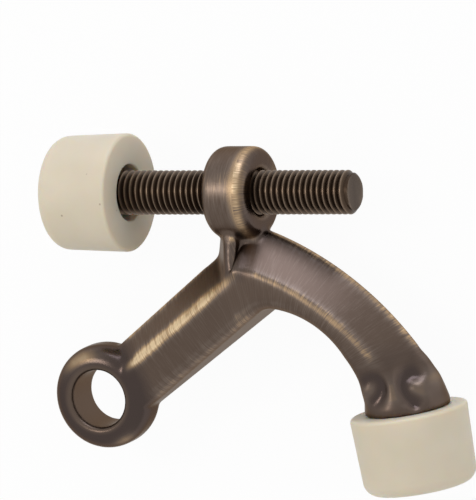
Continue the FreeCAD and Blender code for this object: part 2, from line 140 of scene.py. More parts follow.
# Where the casting's regions fade in, from 0 to 1, in millimetres
BORE_WALL = (5.3, 4.6)
SCREW_HOLE_WALL = (4.2, 3.7)
NECK_X = 23
NECK_SIDES = (5.5, 4.5)
NECK_LOW = (15, 17)
NECK_TOP = (23.8, 23)
FOOT_RIM = (1.0, 1.8)
FOOT_TOP = (9, 6.5)
COLLAR_BRUSH = (COLLAR_LOW, COLLAR_LOW + 1.0)
COLLAR_FINISH = (22.6, 23.6)
COLLAR_END_BRUSH = (COLLAR_X + 1.0, COLLAR_X + 1.8)

# Where the brush went, in millimetres, with the share that it left out on the web and the share that it took
# on the foot's high spots
WEB_X = 23.5
WEB_SIDES = (4, 3)
WEB_LOW = (17.5, 18.5)
WEB_UNBRUSHED = 0.5
FOOT_UNBRUSHED = (11, 7)
FOOT_HIGH_LIFT = (-0.04, 0.03)
FOOT_HIGH_BRUSHED = 0.7
COLLAR_FACE = (2.6, 3.4)
EYE_BRUSHED = (7.5, 10)
EYE_STREAKED = (6.5, 9)
FOOT_STREAKED = (6, 9)
# Shifts that keep the brush marks of the three parts apart
CURVED_SHIFT = 40.0
COLLAR_SHIFT = 90

# Where the edges are worn, in millimetres, and the share of that wear that each place is spared
EDGE_BLUR = 18
EDGE_LIFT = (0.03, 0.1)
EYE_FADE = (9.5, 8.0)
EYE_SPARED = 0.9
FOOT_FADE = (9.5, 6.5)
FOOT_SPARED = 0.97
NECK_SPARED = 0.85
COLLAR_LEFT = (COLLAR_X + 1, COLLAR_X - 1)
COLLAR_LEFT_SPARED = 0.6
COLLAR_END = (2.9, 3.4)
ARCH_WALL = (17.6, 16.4)
ARCH_WALL_X = (30, 35)
ARCH_SPARED = 0.9
LOWER_EDGE = -3
LOWER_EDGE_END_X = 24
LOWER_EDGE_SPARED = 0.2
# A softer band of wear beside the edges, fainter on the flats that face front and back
BAND_BLUR = 40
BAND_GAIN = 1.7
BAND_MOST = 0.7
FLAT_FACING = (0.7, 0.9)
FLAT_SPARED = 0.6
# Worn places and painted highlights: strength, and middle and width in millimetres or in degrees
RIDGE_WEAR = 1.3
RIDGE_BAND = (ARM_RIDGE + 0.25, 0.75)
RIDGE_START = (6, 9)
RIDGE_END = (34, 24)
RIDGE_END_X = 30
FRONT = (0.5, 2.0)
# The eye's top: worn gold together with a painted highlight along its upper rounding
EYE_TOP_WEAR_AND_SHEEN = 0.7
EYE_TOP_TURN = (112, 34)
EYE_TOP_RADIUS = (6.3, 1.0)
EYE_LOW_WEAR = 0.56
EYE_LOW_TURN = (-62, 16)
EYE_LOW_RADIUS = (6.9, 0.7)
# A painted highlight across the collar's front, above its middle
COLLAR_FRONT_HIGHLIGHT = 0.22
COLLAR_HIGHLIGHT_TURN = (20, 30)
COLLAR_EDGE_WEAR = 0.6
COLLAR_EDGE_BAND = (COLLAR_X + 2.3, 1.0)
FOOT_WEAR = 0.3
FOOT_WEAR_LOW = (1.0, 2.5)
FOOT_WEAR_TOP = (7, 4.5)
FOOT_WEAR_LIFT = (-0.02, 0.05)
# Dark inner corners, painted as dark patina together with painted shade, fainter on the curved arm's side and
# in the holes
DARK_BLUR = 10
DARK_DEPTH = (0.025, 0.09)
DARK_FADE_X = (24, 26)
DARK_SPARED = 0.8
DARK_IN_HOLE = 0.1
# The screw's flat free end is worn nearly as bright as the thread's crests
END_WEAR = 0.8

# The picture, in metres
MIDDLE = Vector((0.024, 0.012, 0))
TOWARD_CAMERA = Vector((0.458, 0.18, 0.870)).normalized()
PICTURE_UP = Vector((0.0, 0.979, -0.203))
PICTURE_MIDDLE = Vector((16.52, 18.53, -12.54)) * MM
PICTURE_HEIGHT = 71.22 * MM
FLOOR_SIZE = 4.0
FLOOR_MIDDLE = (0.02, 0.01)
FLOOR_GAP = 0.2 * MM


def deselect():
    if bpy.context.object and bpy.context.object.mode != "OBJECT":
        bpy.ops.object.mode_set(mode="OBJECT")
    bpy.ops.object.select_all(action="DESELECT")


def pick(obj):
    deselect()
    obj.select_set(True)
    bpy.context.view_layer.objects.active = obj


def apply_modifier(obj, kind, **settings):
    pick(obj)
    modifier = obj.modifiers.new(kind.lower(), kind)
    for name, setting in settings.items():
        setattr(modifier, name, setting)
    bpy.ops.object.modifier_apply(modifier=modifier.name)


def trace(name, points):
    """Draws a section line point by point, in millimetres, and leaves it selected in edit mode."""
    deselect()
    bpy.ops.mesh.primitive_plane_add(size=MM)
    obj = bpy.context.object
    obj.name = name
    bpy.ops.object.mode_set(mode="EDIT")
    bpy.ops.mesh.merge(type="CENTER")
    last = Vector((0, 0, 0))
    for number, point in enumerate(points):
        step = (Vector(point) - last) * MM
        if number:
            bpy.ops.mesh.extrude_region_move(TRANSFORM_OT_translate={"value": step})
        else:
            bpy.ops.transform.translate(value=step)
        last = Vector(point)
    bpy.ops.mesh.select_all(action="SELECT")
    return obj


def select_corner(obj, x, y):
    """Selects the points of a section in edit mode that lie at a corner, in millimetres."""
    bpy.ops.mesh.select_mode(type="VERT")
    bpy.ops.mesh.select_all(action="DESELECT")
    mesh = bmesh.from_edit_mesh(obj.data)
    for point in mesh.verts:
        point.select = math.hypot(point.co.x / MM - x, point.co.y / MM - y) < NEAR
    mesh.select_flush(True)
    bmesh.update_edit_mesh(obj.data)


def close_up(obj, crease):
    """Merges doubled points, turns the faces outwards and smooths all but the sharp edges."""
    bpy.ops.mesh.select_all(action="SELECT")
    bpy.ops.mesh.remove_doubles(threshold=MERGE * MM)
    bpy.ops.mesh.normals_make_consistent(inside=False)
    bpy.ops.object.mode_set(mode="OBJECT")
    bpy.ops.object.shade_smooth_by_angle(angle=math.radians(crease))
    return obj


def settle(obj, place):
    """Moves a finished mesh to its place and leaves its object at the origin."""
    obj.data.transform(place)
    obj.matrix_world = Matrix.Identity(4)


def copy_of(obj, name):
    twin = bpy.data.objects.new(name, obj.data.copy())
    bpy.context.scene.collection.objects.link(twin)
    return twin


def model_tip(name):
    """One rubber tip, with its mouth at the origin and its body along +Y, spun from its half section."""
    end_radius = TIP_RADIUS - TIP_LENGTH * math.tan(TIP_DRAFT)
    pocket_end = TIP_LIP + TIP_POCKET_DEPTH
    section = [
        (0, pocket_end, 0),
        (TIP_POCKET_RADIUS, pocket_end, 0),
        (TIP_POCKET_RADIUS, TIP_LIP, 0),
        (TIP_MOUTH_RADIUS, TIP_LIP, 0),
        (TIP_MOUTH_RADIUS, 0, 0),
        (TIP_RADIUS, 0, 0),
        (end_radius, TIP_LENGTH, 0),
        (0, TIP_LENGTH, 0),
    ]
    obj = trace(name, section)
    rounds = (
        (TIP_RADIUS, 0, TIP_RIM_ROUND, 5),
        (end_radius, TIP_LENGTH, TIP_END_ROUND, 9),
        (TIP_MOUTH_RADIUS, 0, TIP_MOUTH_ROUND, 3),
    )
    for x, y, size, segments in rounds:
        select_corner(obj, x, y)
        bpy.ops.mesh.bevel(affect="VERTICES", offset=size * MM, segments=segments)
    bpy.ops.mesh.select_all(action="SELECT")
    bpy.ops.mesh.spin(steps=TIP_SIDES, angle=math.tau, center=(0, 0, 0), axis=(0, 1, 0))
    return close_up(obj, TIP_CREASE)


def model_screw():
    """The adjusting screw: a rolled thread from its head, hidden in the tip, to its chamfered free end."""
    low = SCREW_RADIUS - THREAD_DEPTH
    start = TIP_MOUTH_X - THREAD_TURNS_IN_TIP * THREAD_PITCH
    middle = start + THREAD_PITCH / 2
    end = start + THREAD_PITCH
    section = [
        (start, SCREW_RADIUS, 0),
        (start + THREAD_CREST / 2, SCREW_RADIUS, 0),
        (middle - THREAD_ROOT / 2, low, 0),
        (middle + THREAD_ROOT / 2, low, 0),
        (end - THREAD_CREST / 2, SCREW_RADIUS, 0),
        (end, SCREW_RADIUS, 0),
    ]
    obj = trace("threaded_screw", section)
    apply_modifier(
        obj,
        "SCREW",
        axis="X",
        angle=math.tau,
        screw_offset=THREAD_PITCH * MM,
        iterations=math.ceil((SCREW_END_X - start) / THREAD_PITCH) + 1,
        steps=THREAD_SIDES,
        render_steps=THREAD_SIDES,
        use_merge_vertices=True,
        merge_threshold=SEAM_MERGE * MM,
    )
    bpy.ops.object.mode_set(mode="EDIT")
    for cut, way in ((HEAD_END_X - HEAD_OVERLAP, -1), (SCREW_END_X, 1)):
        bpy.ops.mesh.select_all(action="SELECT")
        bpy.ops.mesh.bisect(plane_co=(cut * MM, 0, 0), plane_no=(way, 0, 0), clear_outer=True)
    bpy.ops.mesh.select_all(action="SELECT")
    bpy.ops.mesh.remove_doubles(threshold=MERGE * MM)
    bpy.ops.mesh.fill_holes(sides=0)
    # The free end is turned to a cone, which cuts its last threads short
    mesh = bmesh.from_edit_mesh(obj.data)
    for point in mesh.verts:
        place = point.co / MM
        radius = math.hypot(place.y, place.z)
        limit = SCREW_RADIUS - max(0, place.x - SCREW_END_X + END_CHAMFER)
        if radius > limit:
            point.co.y *= limit / radius
            point.co.z *= limit / radius
    bmesh.update_edit_mesh(obj.data)
    close_up(obj, THREAD_CREASE)

    # The head is a plain disc on the thread's hidden end
    deselect()
    bpy.ops.mesh.primitive_cylinder_add(
        vertices=HEAD_SIDES,
        radius=HEAD_RADIUS * MM,
        depth=(HEAD_END_X - HEAD_START_X) * MM,
        location=((HEAD_START_X + HEAD_END_X) / 2 * MM, 0, 0),
        rotation=(0, math.pi / 2, 0),
    )
    bpy.ops.object.transform_apply(location=True, rotation=True, scale=True)
    obj.select_set(True)
    bpy.context.view_layer.objects.active = obj
    bpy.ops.object.join()
    settle(obj, Matrix.Translation((0, SCREW_HEIGHT * MM, 0)))
    return obj


def hump(values, middle, width):
    """1 at the middle, falling off softly over the width."""
    return np.exp(-(((values - middle) / width) ** 2))


def slope(values, start, end):
    """0 before start and 1 after end."""
    return np.clip((values - start) / (end - start), 0, 1)


def places_of(obj):
    places = np.zeros(len(obj.data.vertices) * 3)
    obj.data.vertices.foreach_get("co", places)
    return places.reshape(-1, 3) / MM


def normals_of(obj):
    normals = np.zeros(len(obj.data.vertices) * 3)
    obj.data.vertices.foreach_get("normal", normals)
    return normals.reshape(-1, 3)


def neighbours(obj):
    edges = np.zeros(len(obj.data.edges) * 2, np.int32)
    obj.data.edges.foreach_get("vertices", edges)
    edges = edges.reshape(-1, 2)
    count = np.bincount(edges.ravel(), minlength=len(obj.data.vertices))
    return edges, np.maximum(count, 1)


def spread(values, edges, count, times):
    """Averages values over neighbouring points, so that they blur along the surface."""
    for _ in range(times):
        total = np.zeros_like(values)
        for axis in range(values.shape[1]):
            total[:, axis] = np.bincount(edges[:, 0], values[edges[:, 1], axis], len(values))
            total[:, axis] += np.bincount(edges[:, 1], values[edges[:, 0], axis], len(values))
        values = 0.5 * values + 0.5 * total / count[:, None]
    return values


def bulge(obj, times):
    """How far each point stands out of its surroundings, in millimetres: above 0 on an edge, below 0 in a
    corner."""
    places = places_of(obj)
    edges, count = neighbours(obj)
    lift = ((places - spread(places, edges, count, times)) * normals_of(obj)).sum(1)
    return spread(lift[:, None], edges, count, BULGE_SPREAD)[:, 0]


def rounded(path):
    """A path with its corners cut off until it bends smoothly."""
    path = np.array(path, float)
    for _ in range(PATH_ROUNDS):
        cut = np.empty((2 * len(path) - 2, 3))
        cut[0::2] = 0.75 * path[:-1] + 0.25 * path[1:]
        cut[1::2] = 0.25 * path[:-1] + 0.75 * path[1:]
        path = np.vstack([path[:1], cut, path[-1:]])
    return path


def way_to(places, path):
    """Distance of each place from a path with rounded corners."""
    nearest = np.full(len(places), np.inf)
    path = rounded(path)
    for start, end in zip(path[:-1], path[1:]):
        run = end - start
        part = np.clip((places - start) @ run / (run @ run), 0, 1)
        nearest = np.minimum(nearest, np.linalg.norm(places - start - part[:, None] * run, axis=1))
    return nearest


def press(obj, path, reach, depth, facing=None):
    """Presses a soft groove along a path into the front, and the same into the back, or raises a soft bead
    where the depth is below 0. Facing keeps it to the faces that look that way."""
    places = places_of(obj)
    normals = normals_of(obj)
    mirrored = places * (1, 1, 0) + np.abs(places) * (0, 0, 1)
    fall = np.clip(1 - (way_to(mirrored, path) / reach) ** 2, 0, 1) ** 2
    if facing:
        fall = fall * slope(normals @ np.array(facing), *FACING_FADE)
    places = places - normals * (fall * depth)[:, None]
    obj.data.vertices.foreach_set("co", (places * MM).ravel())
    obj.data.update()


def smooth_where(obj, weights, times):
    """Smooths a mesh as far as each point's weight, 0 to 1, asks."""
    group = obj.vertex_groups.new(name="smooth")
    levels = np.ceil(weights * WEIGHT_STEPS)
    for level in range(1, WEIGHT_STEPS + 1):
        group.add(np.flatnonzero(levels == level).tolist(), level / WEIGHT_STEPS, "REPLACE")
    apply_modifier(obj, "SMOOTH", factor=0.5, iterations=times, vertex_group="smooth")
    obj.vertex_groups.clear()


def in_hole(places):
    """1 on the walls of the pin's bore and of the screw's hole, 0 elsewhere."""
    x, y, z = places.T
    screw_hole = slope(np.hypot(y - SCREW_HEIGHT, z), *SCREW_HOLE_WALL) * (y > COLLAR_LOW)
    return np.maximum(slope(np.hypot(x, y), *BORE_WALL), screw_hole)


def on_neck(places):
    """1 on the neck that carries the collar, 0 elsewhere."""
    x, y, _ = places.T
    return slope(y, *NECK_LOW) * slope(y, *NECK_TOP) * slope(np.abs(x - NECK_X), *NECK_SIDES)


def on_collar(places, fade):
    """1 on the collar, 0 elsewhere, fading in over heights at its lower end."""
    x, y, _ = places.T
    return slope(y, *fade) * (np.abs(x - COLLAR_X) < COLLAR_HALF)


def above_foot(places):
    """Height above the foot's seat, and far above it away from the foot."""
    x, y, _ = places.T
    height = (y - FOOT_SEAT[1]) * math.cos(FOOT_SPLAY) - (x - FOOT_SEAT[0]) * math.sin(FOOT_SPLAY)
    return np.where(x > FOOT_FROM_X, height, FAR_FROM_FOOT)


def near_foot(obj):
    """1 over the foot above its rim, fading out up the arm."""
    height = above_foot(places_of(obj))
    return slope(height, *FOOT_RIM) * slope(height, *FOOT_TOP)


def along_straight_arm(places):
    """Way along the straight arm from the bore, and height above its middle line."""
    x, y, _ = places.T
    along = x * math.cos(ARM_RISE) + y * math.sin(ARM_RISE)
    return along, y * math.cos(ARM_RISE) - x * math.sin(ARM_RISE)


def model_casting():
    """The casting: the solid's own form, with the soft inner corners that a mould leaves."""
    obj = copy_of(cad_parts["cast_arm"], "brushed_casting")
    obj.data.materials.clear()
    pick(obj)
    bpy.ops.object.mode_set(mode="EDIT")
    bpy.ops.mesh.select_all(action="SELECT")
    bpy.ops.mesh.remove_doubles(threshold=MERGE * MM)
    bpy.ops.object.mode_set(mode="OBJECT")
    apply_modifier(obj, "REMESH", mode="VOXEL", voxel_size=VOXEL * MM, use_smooth_shade=True)
    # Inner corners fill out to about 1 mm, and all else only loses the steps of the remesh
    corners = slope(-bulge(obj, CORNER_BLUR), *CORNER_DEPTH)
    corners = spread(corners[:, None], *neighbours(obj), CORNER_SPREAD)[:, 0]
    corners = np.clip(corners * CORNER_GAIN, 0, 1)
    places = places_of(obj)
    kept = np.maximum(in_hole(places), NECK_KEPT * on_neck(places))
    smooth_where(obj, corners * (1 - kept), CORNER_ROUNDS)
    apply_modifier(obj, "SMOOTH", factor=0.5, iterations=STEP_ROUNDS)
    smooth_where(obj, near_foot(obj), FOOT_ROUNDS)
    for form in FOOT_FORMS:
        press(obj, *form)
    smooth_where(obj, near_foot(obj), FORM_ROUNDS)
    for form in NECK_FORMS:
        press(obj, *form)
    smooth_where(obj, on_neck(places_of(obj)), NECK_ROUNDS)
    apply_modifier(obj, "SMOOTH", factor=0.5, iterations=LAST_ROUNDS)
    return obj


def along_casting(places):
    """Each point's way along the arms, across them and out of them, in millimetres, so that brush marks can
    run across the arms and round the collar."""
    x, y, z = places.T
    straight, above = along_straight_arm(places)
    angle = np.arctan2(x - ARCH_MIDDLE[0], y - ARCH_MIDDLE[1])
    radius = np.hypot(x - ARCH_MIDDLE[0], y - ARCH_MIDDLE[1])
    curved = angle * CURVED_ARM_RADIUS + CURVED_SHIFT
    turn = slope(x, ARM_BEND_X - ARM_BEND_HALF, ARM_BEND_X + ARM_BEND_HALF)
    along = straight * (1 - turn) + curved * turn
    across = above * (1 - turn) + radius * turn
    collar = on_collar(places, COLLAR_BRUSH)
    around = COLLAR_RADIUS * np.arctan2(z, y - SCREW_HEIGHT)
    edge = slope(x, *COLLAR_END_BRUSH)
    along = along * (1 - collar) + ((x + COLLAR_SHIFT) * (1 - edge) + around * edge) * collar
    across = across * (1 - collar) + (around * (1 - edge) + x * edge) * collar
    return np.column_stack([along, across, z * (1 - collar)])


def brushed(places, lift):
    """Where the brush went, 0 to 1: over the arms and round the collar, not on the eye or the collar's ends,
    and less on the web and the foot."""
    x, y, _ = places.T
    collar = on_collar(places, COLLAR_FINISH)
    web = slope(y, *WEB_LOW) * slope(np.abs(x - WEB_X), *WEB_SIDES) * (1 - collar)
    foot = slope(above_foot(places), *FOOT_UNBRUSHED)
    foot = foot * (1 - FOOT_HIGH_BRUSHED * slope(lift, *FOOT_HIGH_LIFT))
    ends = collar * slope(np.abs(x - COLLAR_X), *COLLAR_FACE)
    arms = slope(np.hypot(x, y), *EYE_BRUSHED) * (1 - foot) * (1 - WEB_UNBRUSHED * web) * (1 - ends)
    return np.maximum(arms, in_hole(places))


def streaked(places):
    """Where single brush marks show, 0 to 1: on the arms and the collar, but not on the eye and the foot."""
    x, y, _ = places.T
    return slope(np.hypot(x, y), *EYE_STREAKED) * slope(above_foot(places), *FOOT_STREAKED)


def worn_edges(obj, lift):
    """How far the edges are worn, 0 to 1, with a softer band beside them."""
    places = places_of(obj)
    x, y, _ = places.T
    eye = slope(np.hypot(x, y), *EYE_FADE)
    foot = slope(above_foot(places), *FOOT_FADE)
    collar = on_collar(places, COLLAR_FINISH)
    edges = slope(lift, *EDGE_LIFT) * (1 - EYE_SPARED * eye) * (1 - FOOT_SPARED * foot)
    edges = edges * (1 - NECK_SPARED * on_neck(places))
    edges = edges * (1 - collar * slope(x, *COLLAR_LEFT) * COLLAR_LEFT_SPARED)
    edges = edges * (1 - collar * slope(np.abs(x - COLLAR_X), *COLLAR_END))
    radius = np.hypot(x - ARCH_MIDDLE[0], y - ARCH_MIDDLE[1])
    arch = slope(radius, *ARCH_WALL) * slope(x, *ARCH_WALL_X)
    lower = (along_straight_arm(places)[1] < LOWER_EDGE) * (x < LOWER_EDGE_END_X)
    edges = edges * (1 - LOWER_EDGE_SPARED * lower) * (1 - ARCH_SPARED * arch)
    band = BAND_GAIN * spread(edges[:, None], *neighbours(obj), BAND_BLUR)[:, 0]
    flat = slope(np.abs(normals_of(obj)[:, 2]), *FLAT_FACING)
    band = band * (1 - FLAT_SPARED * flat) * (1 - eye) * (1 - collar)
    return np.maximum(edges, np.minimum(band, BAND_MOST))


def wear_and_painted_highlight(obj, lift):
    """How far the brush has worn through the dark plating, 0 to 1: along the arms' edges and the collar's,
    and hardly on the eye, the neck and the foot. It also carries painted highlights: across the collar's
    front, and on the eye's top together with its worn gold."""
    places = places_of(obj)
    x, y, z = places.T
    front = slope(np.abs(z), *FRONT)
    straight, above = along_straight_arm(places)
    ridge = hump(above, *RIDGE_BAND) * slope(straight, *RIDGE_START) * slope(straight, *RIDGE_END)
    ridge = RIDGE_WEAR * ridge * front * (x < RIDGE_END_X)
    radius = np.hypot(x, y)
    turn = np.degrees(np.arctan2(y, x))
    eye = slope(radius, *EYE_FADE) * front
    # The eye's top: worn gold together with a painted highlight
    eye_top_wear_and_sheen = EYE_TOP_WEAR_AND_SHEEN * eye * hump(turn, *EYE_TOP_TURN) * hump(radius, *EYE_TOP_RADIUS)
    eye_low = EYE_LOW_WEAR * eye * hump(turn, *EYE_LOW_TURN) * hump(radius, *EYE_LOW_RADIUS)
    # A painted highlight across the collar's front, and the worn strip along its right end
    turn = np.degrees(np.arctan2(y - SCREW_HEIGHT, np.abs(z)))
    collar_highlight_and_edge_wear = COLLAR_FRONT_HIGHLIGHT * hump(turn, *COLLAR_HIGHLIGHT_TURN) + COLLAR_EDGE_WEAR * hump(x, *COLLAR_EDGE_BAND)
    collar = collar_highlight_and_edge_wear * on_collar(places, COLLAR_FINISH)
    height = above_foot(places)
    foot = FOOT_WEAR * slope(height, *FOOT_WEAR_LOW) * slope(height, *FOOT_WEAR_TOP)
    foot = foot * slope(lift, *FOOT_WEAR_LIFT)
    wear_and_sheen = np.maximum.reduce([worn_edges(obj, lift), ridge, eye_top_wear_and_sheen, eye_low, collar, foot])
    return np.clip(wear_and_sheen, 0, 1)


def dark_corners(obj):
    """How dark the inner corners are painted, 0 to 1: dark patina together with painted shade, and a little
    of it in the holes.
    """
    places = places_of(obj)
    corner = slope(-bulge(obj, DARK_BLUR), *DARK_DEPTH)
    corner = corner * (1 - DARK_SPARED * slope(places[:, 0], *DARK_FADE_X))
    return np.maximum(corner, DARK_IN_HOLE * in_hole(places))


def thread_height(obj):
    """Height on the screw's thread, from 0 at its root to 1 at its crest, with its flat end taken as high."""
    x, y, z = places_of(obj).T
    height = (np.hypot(y - SCREW_HEIGHT, z) - SCREW_RADIUS + THREAD_DEPTH) / THREAD_DEPTH
    return np.where(x > SCREW_END_X - END_FACE, END_WEAR, np.clip(height, 0, 1))


def mark(obj, name, kind, values):
    attribute = obj.data.attributes.new(name, kind, "POINT")
    field = "vector" if kind == "FLOAT_VECTOR" else "value"
    attribute.data.foreach_set(field, np.asarray(values, np.float32).ravel())


def hex_colour(text):
    """A hex sRGB colour as linear values."""
    parts = [int(text[i : i + 2], 16) / 255 for i in (1, 3, 5)]
    return [p / 12.92 if p <= 0.04045 else ((p + 0.055) / 1.055) ** 2.4 for p in parts] + [1.0]


def add_node(tree, kind, settings=None, stops=(), **inputs):
    """Adds a node with its settings and colour stops, and sets or links its inputs by name or number."""
    node = tree.nodes.new(kind)
    for name, setting in (settings or {}).items():
        setattr(node, name, setting)
    if stops:
        elements = node.color_ramp.elements
        while len(elements) < len(stops):
            elements.new(0.5)
        for element, (place, colour) in zip(elements, stops):
            element.position = place
            element.color = hex_colour(colour)
    for name, given in inputs.items():
        numbered = name[0] == "i" and name[1:].isdigit()
        socket = node.inputs[int(name[1:]) if numbered else name.replace("_", " ")]
        if isinstance(given, bpy.types.NodeSocket):
            tree.links.new(given, socket)
        else:
            socket.default_value = given
    return node


def new_material(name):
    material = bpy.data.materials.new(name)
    material.use_nodes = True
    material.node_tree.nodes.clear()
    return material, material.node_tree


def antique_brass():
    """Antique brass plating on a zinc casting: darkened all over, then brushed across so that the edges and
    the high spots show warm and bright while the flats and corners stay brown. Painted shade darkens the
    inner corners, and a painted highlight lightens the collar's front and the eye's top."""
    material, tree = new_material("antique_brass_on_zinc_brushed")
    brush = add_node(tree, "ShaderNodeAttribute", {"attribute_name": "brush"}).outputs["Vector"]
    # Wear, with painted highlights on the collar's front and the eye's top
    wear_and_sheen_fac = add_node(tree, "ShaderNodeAttribute", {"attribute_name": "wear_and_sheen"}).outputs["Fac"]
    # Dark inner corners: dark patina together with painted shade
    corner = add_node(tree, "ShaderNodeAttribute", {"attribute_name": "corner"}).outputs["Fac"]
    matt = add_node(tree, "ShaderNodeAttribute", {"attribute_name": "brushed"}).outputs["Fac"]
    marked = add_node(tree, "ShaderNodeAttribute", {"attribute_name": "streaked"}).outputs["Fac"]
    # A brush wire's scratch is about 0.05 mm wide; drawn 0.2 mm wide and 3 mm long so that it shows
    fine = add_node(tree, "ShaderNodeMapping", Vector=brush, Scale=(5.0, 0.33, 0.33))
    fine = add_node(
        tree, "ShaderNodeTexNoise", Vector=fine.outputs[0], Scale=1.0, Detail=3.0, Roughness=0.65
    )
    # The brush's pressure varies over some 3 mm along the arms and 4 mm across them
    broad = add_node(tree, "ShaderNodeMapping", Vector=brush, Scale=(0.35, 0.25, 0.25))
    broad = add_node(
        tree, "ShaderNodeTexNoise", Vector=broad.outputs[0], Scale=1.0, Detail=3.0, Roughness=0.6
    )
    streak = add_node(
        tree,
        "ShaderNodeMapRange",
        Value=fine.outputs[0],
        From_Min=0.3,
        From_Max=0.7,
        To_Min=-0.45,
        To_Max=0.45,
    )
    patch = add_node(
        tree,
        "ShaderNodeMapRange",
        Value=broad.outputs[0],
        From_Min=0.3,
        From_Max=0.7,
        To_Min=0.7,
        To_Max=1.15,
    )
    # Worn places and painted highlights take the marks most, and the flats only a little
    reach = add_node(tree, "ShaderNodeMath", {"operation": "MULTIPLY"}, i0=wear_and_sheen_fac, i1=patch.outputs[0])
    grip = add_node(
        tree, "ShaderNodeMath", {"operation": "MULTIPLY_ADD"}, i0=reach.outputs[0], i1=0.85, i2=0.22
    )
    grip = add_node(tree, "ShaderNodeMath", {"operation": "MULTIPLY"}, i0=grip.outputs[0], i1=marked)
    marks = add_node(
        tree, "ShaderNodeMath", {"operation": "MULTIPLY"}, i0=streak.outputs[0], i1=grip.outputs[0]
    )
    bright = add_node(
        tree,
        "ShaderNodeMath",
        {"operation": "ADD", "use_clamp": True},
        i0=reach.outputs[0],
        i1=marks.outputs[0],
    )
    brass = add_node(
        tree,
        "ShaderNodeValToRGB",
        stops=((0.0, "#68594f"), (0.22, "#7c6e64"), (0.6, "#bfa280"), (1.0, "#f0d8b2")),
        Fac=bright.outputs[0],
    )
    # Where the brush didn't reach, the plating keeps its dark, cool brown
    cleaned = add_node(tree, "ShaderNodeMath", {"operation": "MAXIMUM"}, i0=matt, i1=wear_and_sheen_fac)
    plating = add_node(
        tree,
        "ShaderNodeMix",
        {"data_type": "RGBA"},
        i0=cleaned.outputs[0],
        i6=hex_colour("#534844"),
        i7=brass.outputs[0],
    )
    # Inner corners are darker: dark patina together with painted shade
    dark = add_node(
        tree, "ShaderNodeMapRange", Value=corner, From_Min=0.0, From_Max=1.0, To_Min=1.0, To_Max=0.6
    )
    shaded = add_node(
        tree,
        "ShaderNodeMix",
        {"data_type": "RGBA", "blend_type": "MULTIPLY"},
        i0=1.0,
        i6=plating.outputs[2],
        i7=dark.outputs[0],
    )
    # Brushing leaves the plating rougher than the mould did
    rough = add_node(
        tree, "ShaderNodeMapRange", Value=matt, From_Min=0.0, From_Max=1.0, To_Min=0.25, To_Max=0.34
    )
    rough = add_node(
        tree,
        "ShaderNodeMath",
        {"operation": "MULTIPLY_ADD"},
        i0=reach.outputs[0],
        i1=0.14,
        i2=rough.outputs[0],
    )
    scratch = add_node(tree, "ShaderNodeBump", Strength=0.5, Distance=0.02 * MM, Height=fine.outputs[0])
    shader = add_node(
        tree,
        "ShaderNodeBsdfPrincipled",
        Base_Color=shaded.outputs[2],
        Metallic=1.0,
        Roughness=rough.outputs[0],
        Specular_Tint=hex_colour("#c9beb4"),
        Normal=scratch.outputs[0],
    )
    add_node(tree, "ShaderNodeOutputMaterial", Surface=shader.outputs[0])
    return material


def plated_steel():
    """Rolled steel thread, plated and darkened with the casting: dark in its grooves, worn on its crests."""
    material, tree = new_material("antique_plated_steel_thread")
    edge = add_node(tree, "ShaderNodeAttribute", {"attribute_name": "wear_and_sheen"}).outputs["Fac"]
    place = add_node(tree, "ShaderNodeTexCoord").outputs["Object"]
    # Patches of wear about 1 mm across
    patch = add_node(tree, "ShaderNodeTexNoise", Vector=place, Scale=900.0, Detail=2.0)
    patch = add_node(
        tree,
        "ShaderNodeMath",
        {"operation": "MULTIPLY_ADD", "use_clamp": True},
        i0=patch.outputs[0],
        i1=0.3,
        i2=-0.15,
    )
    bright = add_node(
        tree, "ShaderNodeMath", {"operation": "ADD", "use_clamp": True}, i0=edge, i1=patch.outputs[0]
    )
    plating = add_node(
        tree,
        "ShaderNodeValToRGB",
        stops=((0.0, "#4a3c31"), (0.6, "#54463a"), (0.85, "#6d5d4f"), (1.0, "#8a7867")),
        Fac=bright.outputs[0],
    )
    shader = add_node(
        tree, "ShaderNodeBsdfPrincipled", Base_Color=plating.outputs[0], Metallic=1.0, Roughness=0.42
    )
    add_node(tree, "ShaderNodeOutputMaterial", Surface=shader.outputs[0])
    return material


def cream_rubber():
    """Moulded cream rubber: matt, a little soft to the light, with a few dark specks of dust in it."""
    material, tree = new_material("cream_moulded_rubber")
    place = add_node(tree, "ShaderNodeTexCoord").outputs["Object"]
    # Faint clouds about 8 mm across
    cloud = add_node(tree, "ShaderNodeTexNoise", Vector=place, Scale=120.0, Detail=2.0)
    tint = add_node(
        tree, "ShaderNodeValToRGB", stops=((0.3, "#ded3bc"), (0.7, "#e4dac5")), Fac=cloud.outputs[0]
    )
    # Specks up to 0.4 mm across, some 3.6 mm apart
    speck = add_node(tree, "ShaderNodeTexVoronoi", Vector=place, Scale=280.0)
    dot = add_node(
        tree,
        "ShaderNodeMapRange",
        Value=speck.outputs["Distance"],
        From_Min=0.03,
        From_Max=0.055,
        To_Min=1.0,
        To_Max=0.0,
    )
    mixed = add_node(
        tree,
        "ShaderNodeMix",
        {"data_type": "RGBA"},
        i0=dot.outputs[0],
        i6=tint.outputs[0],
        i7=hex_colour("#b7a78f"),
    )
    shader = add_node(
        tree,
        "ShaderNodeBsdfPrincipled",
        Base_Color=mixed.outputs[2],
        Roughness=0.55,
        IOR=1.5,
        Subsurface_Weight=0.7,
        Subsurface_Radius=(1.0, 0.65, 0.35),
        Subsurface_Scale=2.0 * MM,
    )
    add_node(tree, "ShaderNodeOutputMaterial", Surface=shader.outputs[0])
    return material


